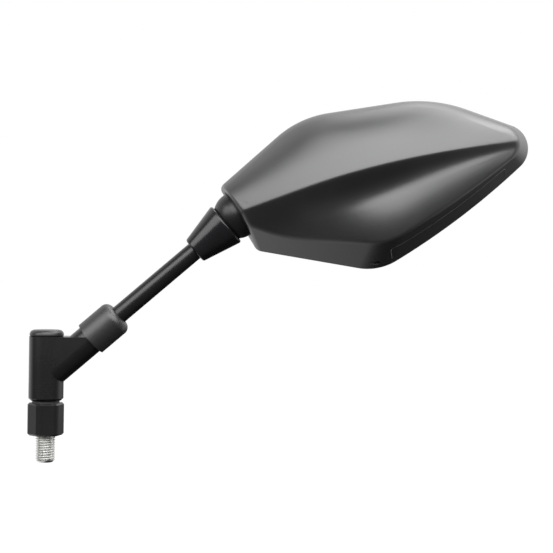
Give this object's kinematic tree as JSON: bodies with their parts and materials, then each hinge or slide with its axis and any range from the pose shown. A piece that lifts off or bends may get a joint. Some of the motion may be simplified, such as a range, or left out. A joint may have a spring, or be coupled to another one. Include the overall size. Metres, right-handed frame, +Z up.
{
  "type": "motorcycle mirror",
  "caption": "Left-hand motorcycle mirror with a ball-jointed moulded head, convex glass, slanted stem and a swivelling threaded base.",
  "frame": {"origin": "centre of the hexagon's lower seat face, where it meets the handlebar clamp", "axes": "+Z up the mounting stud's axis, +X outboard towards the head, +Y rearward, the way the glass faces"},
  "size_m": [0.2558, 0.0469, 0.1884],
  "materials": {
    "zinc_steel": "bright zinc",
    "spring_steel": "oiled spring steel",
    "black_steel": "satin black",
    "black_casting": "satin black paint on a casting",
    "neck_casting": "soft satin black paint",
    "plug_steel": "turned",
    "nylon": "black nylon",
    "cap_plastic": "satin black",
    "boot_rubber": "smooth rubber",
    "cone_plastic": "gloss black",
    "housing_plastic": "fine grained black moulding",
    "mirror_glass": "silvered convex glass",
    "foam": "closed-cell foam tape"
  },
  "bodies": {
    "base": {"mount_stud": "zinc_steel", "hex_adapter": "black_steel", "thrust_washer": "nylon", "spring_seat": "zinc_steel", "disc_springs": "spring_steel", "bolt_washer": "zinc_steel", "pivot_bolt": "zinc_steel"},
    "stem": {"bracket": "black_casting", "swivel_bush": "nylon", "top_cap": "cap_plastic", "stem_rod": "black_steel", "stem_lock_nut": "zinc_steel", "cone_cover": "cone_plastic"},
    "boot": {"stem_boot": "boot_rubber"},
    "seat": {"ball_seat": "nylon"},
    "cup": {"pressure_cup": "plug_steel", "socket_springs": "spring_steel"},
    "head": {"socket_frame": "neck_casting", "preload_plug": "plug_steel", "frame_screws": "zinc_steel", "housing": "housing_plastic", "mirror_glass": "mirror_glass", "glass_pad": "foam"}
  },
  "joints": [
    {"name": "base_swivel", "type": "hinge", "parent": "base", "child": "stem", "pos_m": [0, 0, 0.0176], "axis": [0, 0, 1], "continuous": true},
    {"name": "boot_slide", "type": "slide", "parent": "stem", "child": "boot", "axis": [0.7547, 0, 0.6561], "range_m": [0, 0.045]},
    {"name": "head_lift", "type": "hinge", "parent": "stem", "child": "seat", "pos_m": [0.09607, 0, 0.11332], "axis": [0, 1, 0], "range_deg": [-10, 10]},
    {"name": "head_pan", "type": "hinge", "parent": "seat", "child": "cup", "pos_m": [0.09607, 0, 0.11332], "axis": [-0.6561, 0, 0.7547], "range_deg": [-10, 10]},
    {"name": "head_twist", "type": "hinge", "parent": "cup", "child": "head", "pos_m": [0.09607, 0, 0.11332], "axis": [0.7547, 0, 0.6561], "continuous": true}
  ]
}
